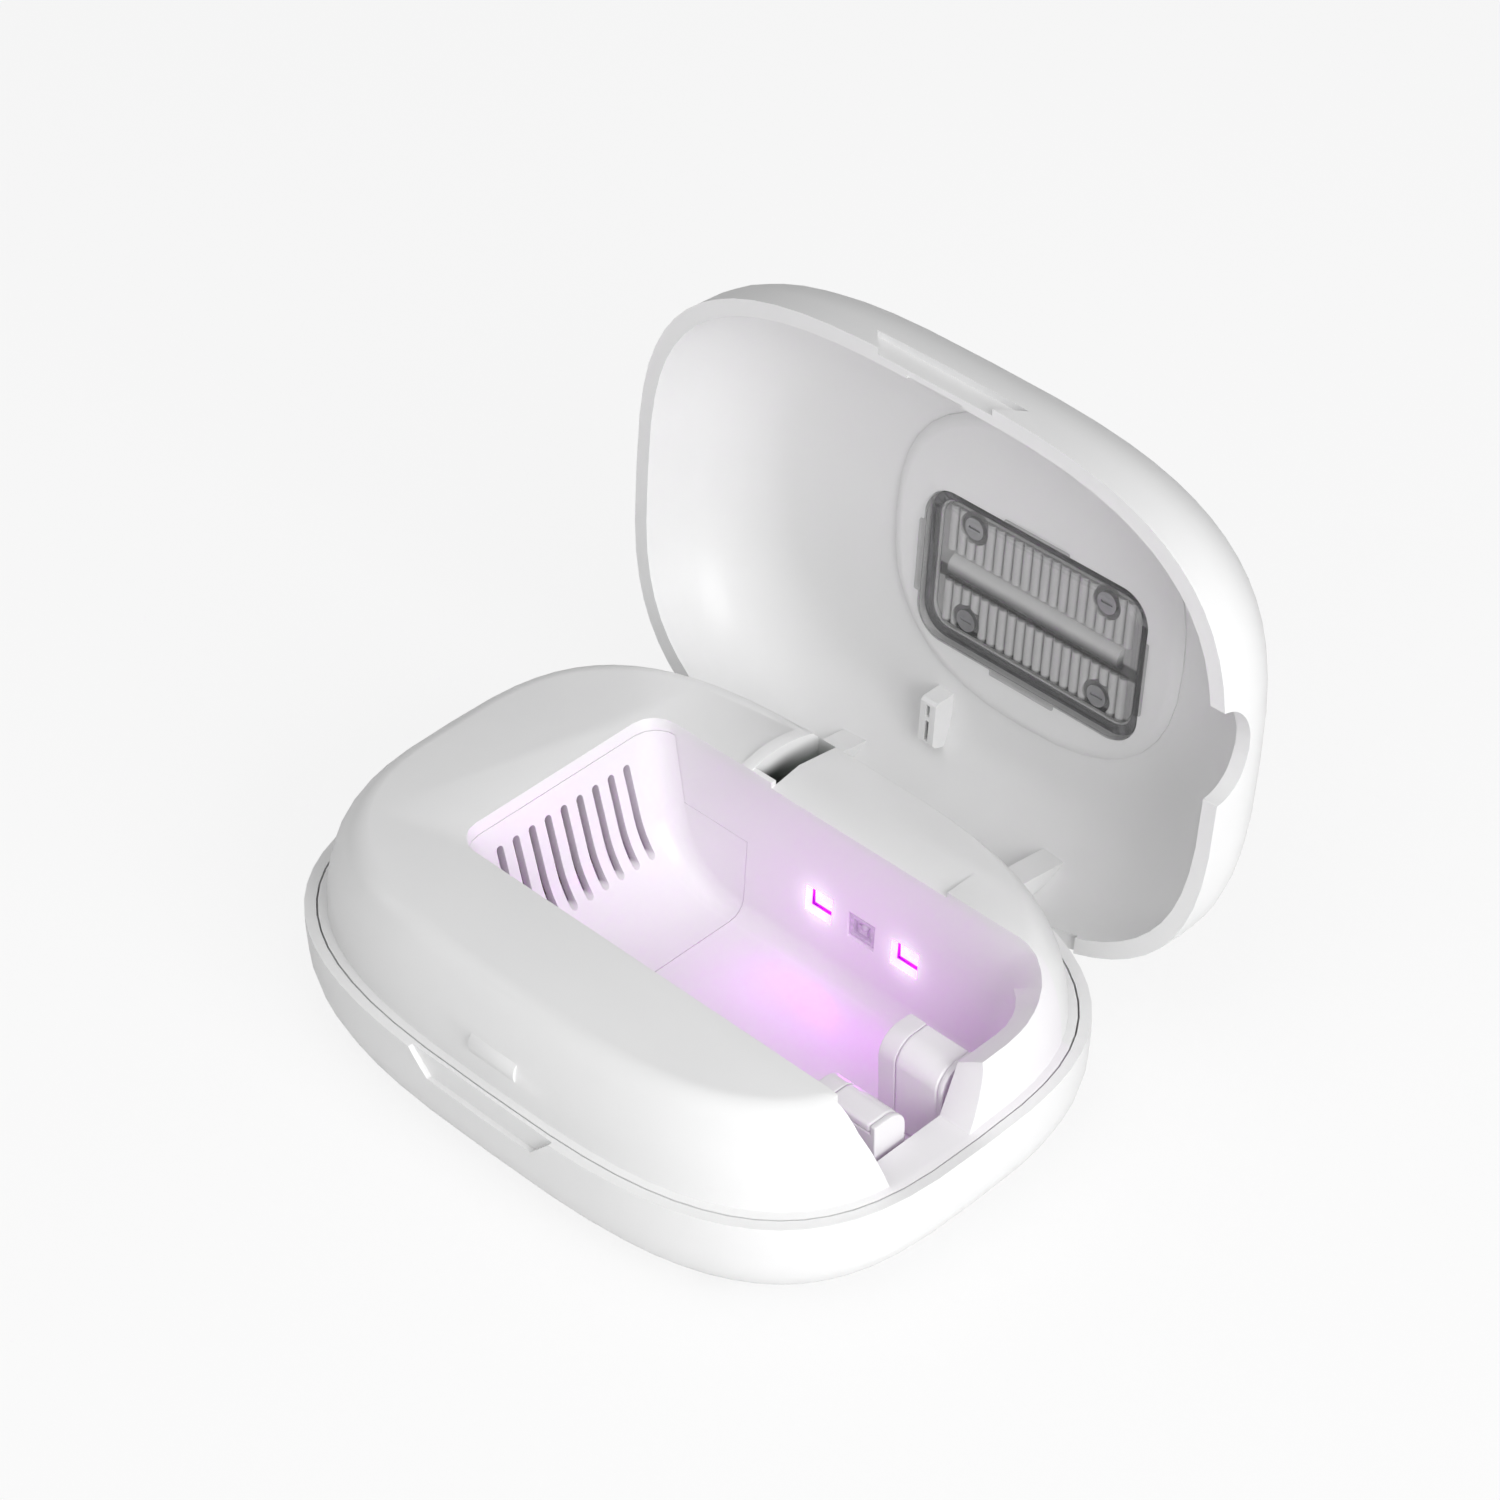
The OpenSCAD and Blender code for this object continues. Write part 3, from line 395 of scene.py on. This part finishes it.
def corner_wall(way_x, way_y, low, high):
    """The dome's wall at one corner, copied across from a plain corner at the neck rest's end."""
    bpy.ops.mesh.primitive_cube_add(size=1, location=[(a + b) / 2 for a, b in zip(low, high)])
    corner = bpy.context.object
    corner.scale = [b - a for a, b in zip(low, high)]
    bpy.ops.object.transform_apply(location=True, rotation=True, scale=True)
    across = bpy.data.objects.new("deck_corner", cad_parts["deck"].data.copy())
    bpy.context.scene.collection.objects.link(across)
    across.scale = (way_x * corner_shrink, way_y * corner_shrink, 1)
    across.location.z = -corner_drop
    bpy.ops.object.select_all(action="DESELECT")
    bpy.context.view_layer.objects.active = across
    across.select_set(True)
    bpy.ops.object.transform_apply(location=True, rotation=True, scale=True)
    bpy.ops.object.mode_set(mode="EDIT")
    bpy.ops.mesh.select_all(action="SELECT")
    bpy.ops.mesh.remove_doubles(threshold=same_point)
    bpy.ops.mesh.normals_make_consistent(inside=False)
    bpy.ops.object.mode_set(mode="OBJECT")
    bpy.ops.object.modifier_add(type="BOOLEAN")
    kept = across.modifiers[-1]
    kept.operation = "INTERSECT"
    kept.solver = "EXACT"
    kept.object = corner
    bpy.ops.object.modifier_apply(modifier=kept.name)
    bpy.ops.object.shade_smooth_by_angle(angle=math.radians(30))
    across.data.materials.clear()
    across.data.materials.append(deck_white)
    bpy.data.objects.remove(corner)
    return across


front_corner = corner_wall(-1, -1, (-0.043, -0.0206, 0.010), (-0.0354, -0.0154, 0.0167))
hinge_corner = corner_wall(-1, 1, (-0.043, 0.0154, 0.010), (-0.0339, 0.0226, 0.0167))
bpy.ops.object.select_all(action="DESELECT")
for piece in (front_corner, hinge_corner, domed):
    piece.select_set(True)
bpy.context.view_layer.objects.active = domed
bpy.ops.object.join()


# Vent block: the coved wall with the air slots, a separate white moulding let into the chamber.
# Its edges are broken less than the deck's, so the slots stay crisp.
# It carries the same painted violet glow from the lamps as the deck.
moulding("vent_block", "coved_vent_wall", "base", lit_white("satin_white_vent")[0], 0.00012)


# Lamps: two ultraviolet packages behind the outer windows, lit, and a ceramic one between them,
# all soldered to one upright board. The lit faces are real light sources and tint the chamber.
lit_face, at = surface(
    "lit_lamp_face", Base_Color=(0.6, 0.5, 0.65, 1), Roughness=0.3, Emission_Strength=28.0)
flicker = noise(at, 500.0, 1.0)
two_tone(flicker, (0.72, 0.017, 0.94), (0.80, 0.021, 1.0)).into("Emission Color")
dress(lit_face, "uva_leds")
violet_mask, at = surface("violet_solder_mask", Roughness=0.4)
ink = noise(at, 900.0, 2.0)
two_tone(ink, (0.30, 0.10, 0.34), (0.36, 0.14, 0.40)).into("Base Color")
dress(violet_mask, "led_board")
# The middle package is no lamp: its faint violet emission and the violet cast in its grey are painted
# light from its lit neighbours.
package, at = surface(
    "grey_lamp_package", IOR=1.6, Emission_Color=(0.20, 0.12, 0.23, 1), Emission_Strength=0.6)
mottle = noise(at, 1400.0, 2.0)
two_tone(mottle, (0.46, 0.38, 0.50), (0.58, 0.50, 0.62)).into("Base Color")
(mottle * 0.2 + 0.15).into("Roughness")
dress(package, "uvc_led")


# Neck rest: a stiff pale grey cradle across the chamber's end, with a soft white silicone pad
# pushed onto each cheek. All three carry the same painted violet glow from the lamps as the chamber.
moulding("neck_rest", "neck_cradle", "base", lit_white("pale_grey_rest", 0.78)[0], 0.0002)
for node, name in (("rear_neck_pad", "rear_silicone_pad"), ("front_neck_pad", "front_silicone_pad")):
    moulding(node, name, "base", lit_white(name, 0.84, 0.5)[0], 0.0004, segments=3)


# Lid: the deep upper shell in satin white, with a raised field, a foot and two hinge gussets.
# Moulded in one piece, it turns on the pins about the hinge line. A magnet sits in its foot.
lid_white, _ = white_plastic("satin_white_lid", rough=0.46)
moulding("lid_shell", "domed_lid", "lid", lid_white, 0.0003, crease=28, segments=3)
magnet_grey, at = surface("sintered_magnet", Metallic=0.8)
pores = noise(at, 2500.0, 3.0)
two_tone(pores, (0.05, 0.05, 0.055), (0.09, 0.09, 0.095)).into("Base Color")
(pores * 0.2 + 0.4).into("Roughness")
dress(magnet_grey, "lid_magnet")


# Light unit of the lid: a fluted clear diffuser screwed down behind the window, with a clear
# rod along its middle and a thin grey gasket round the edge. Painted shade darkens the deep, unlit
# parts: between the flutes, round the screws, along the foot of the lower row and in a band below the
# rod where its shadow falls.
lid_turn = math.radians(-95)
lid_deep = Vector((0, -math.sin(lid_turn), math.cos(lid_turn)))
lid_down = Vector((0, math.cos(lid_turn), math.sin(lid_turn)))
lid_hinge = Vector((0, 0.0297, 0.011))
lens_x = 0.0063
rod_down = -0.0289
screw_along = 0.0101
screw_above = 0.0064
well_edge = (0.0019, 0.0023)


def reach(at, way):
    """Distance from the hinge line along a direction of the lid."""
    from_hinge = at.node("ShaderNodeVectorMath", {"operation": "SUBTRACT"}, {0: at, 1: lid_hinge})
    return at.node("ShaderNodeVectorMath", {"operation": "DOT_PRODUCT"}, {
        0: from_hinge, 1: way}, out=1)


def along(at, way, start, end):
    """Runs from 0 to 1 between two such distances."""
    return eased(reach(at, way), start, end)


fluted, at = surface("fluted_diffuser", IOR=1.49)
haze = noise(at, 260.0, 3.0)
hollow = along(at, lid_deep, 0.01768, 0.01803)
row_foot = along(at, lid_down, -0.0214, -0.0210)
rod_gap = along(at, lid_down, -0.0286, -0.0281) * (1 - along(at, lid_down, -0.0268, -0.0264))
beside = at.math("ABSOLUTE", x_y_z(at)[0] - lens_x)
above = at.math("ABSOLUTE", reach(at, lid_down) - rod_down)
from_screw = at.math("SQRT", (beside - screw_along) ** 2 + (above - screw_above) ** 2)
well = eased(from_screw, *well_edge, 1.0, 0.0)
# Painted shade: darker between the flutes and round the screws, at the foot of the lower row and in
# the rod's shadow.
painted_shade = hollow * (well * 0.32 + 0.16) + (row_foot + rod_gap) * 0.46
(haze * 0.06 + 0.70 - painted_shade).into("Base Color")
(haze * 0.1 + 0.18).into("Roughness")
dress(fluted, "flute_plate")
rod, at = surface("clear_rod", IOR=1.49)
frost = noise(at, 400.0, 2.0)
rod_painted_shading = along(at, lid_down, -0.0299, -0.0281)
# Painted light and shade: the rod runs from a painted highlight on top to dark underneath.
at.node("ShaderNodeValToRGB", {"ramp": [
    (0.0, (0.84, 0.84, 0.84)), (0.35, (0.46, 0.46, 0.46)), (1.0, (0.08, 0.08, 0.085))]},
    {0: rod_painted_shading + frost * 0.1 - 0.05}).into("Base Color")
(frost * 0.1 + 0.1).into("Roughness")
dress(rod, "light_rod")
gasket, at = surface("grey_gasket")
felted = noise(at, 2000.0, 2.0)
two_tone(felted, (0.24, 0.24, 0.25), (0.30, 0.30, 0.31)).into("Base Color")
(felted * 0.2 + 0.6).into("Roughness")
dress(gasket, "lens_seal")
dress(steel, "lens_screws")


# Window of the lid: a smoked clear tray clipped into the raised field by its four tabs.
# Its floor is thin and clear, its thick border and the tabs look darker.
border_side = (0.0149, 0.0153)
border_near_hinge = (-0.0206, -0.0202)
border_far = (-0.0376, -0.0372)
smoked, at = surface("smoked_clear", Base_Color=(0.26, 0.26, 0.26, 1), IOR=1.5)
edge_on = at.node("ShaderNodeLayerWeight", inputs={"Blend": 0.35}, out=1)
streak = noise(at, 120.0, 2.0)
sideways = at.math("ABSOLUTE", x_y_z(at)[0] - lens_x)
left_right = eased(sideways, *border_side)
border = at.math("MAXIMUM", left_right, along(at, lid_down, *border_near_hinge))
border = at.math("MAXIMUM", border, 1 - along(at, lid_down, *border_far))
(edge_on * 0.42 + 0.02 + border * 0.10).into("Alpha")
(streak * 0.04 + 0.04).into("Roughness")
moulding("lens_cover", "smoked_lens", "lid", smoked, 0.0003, segments=3)
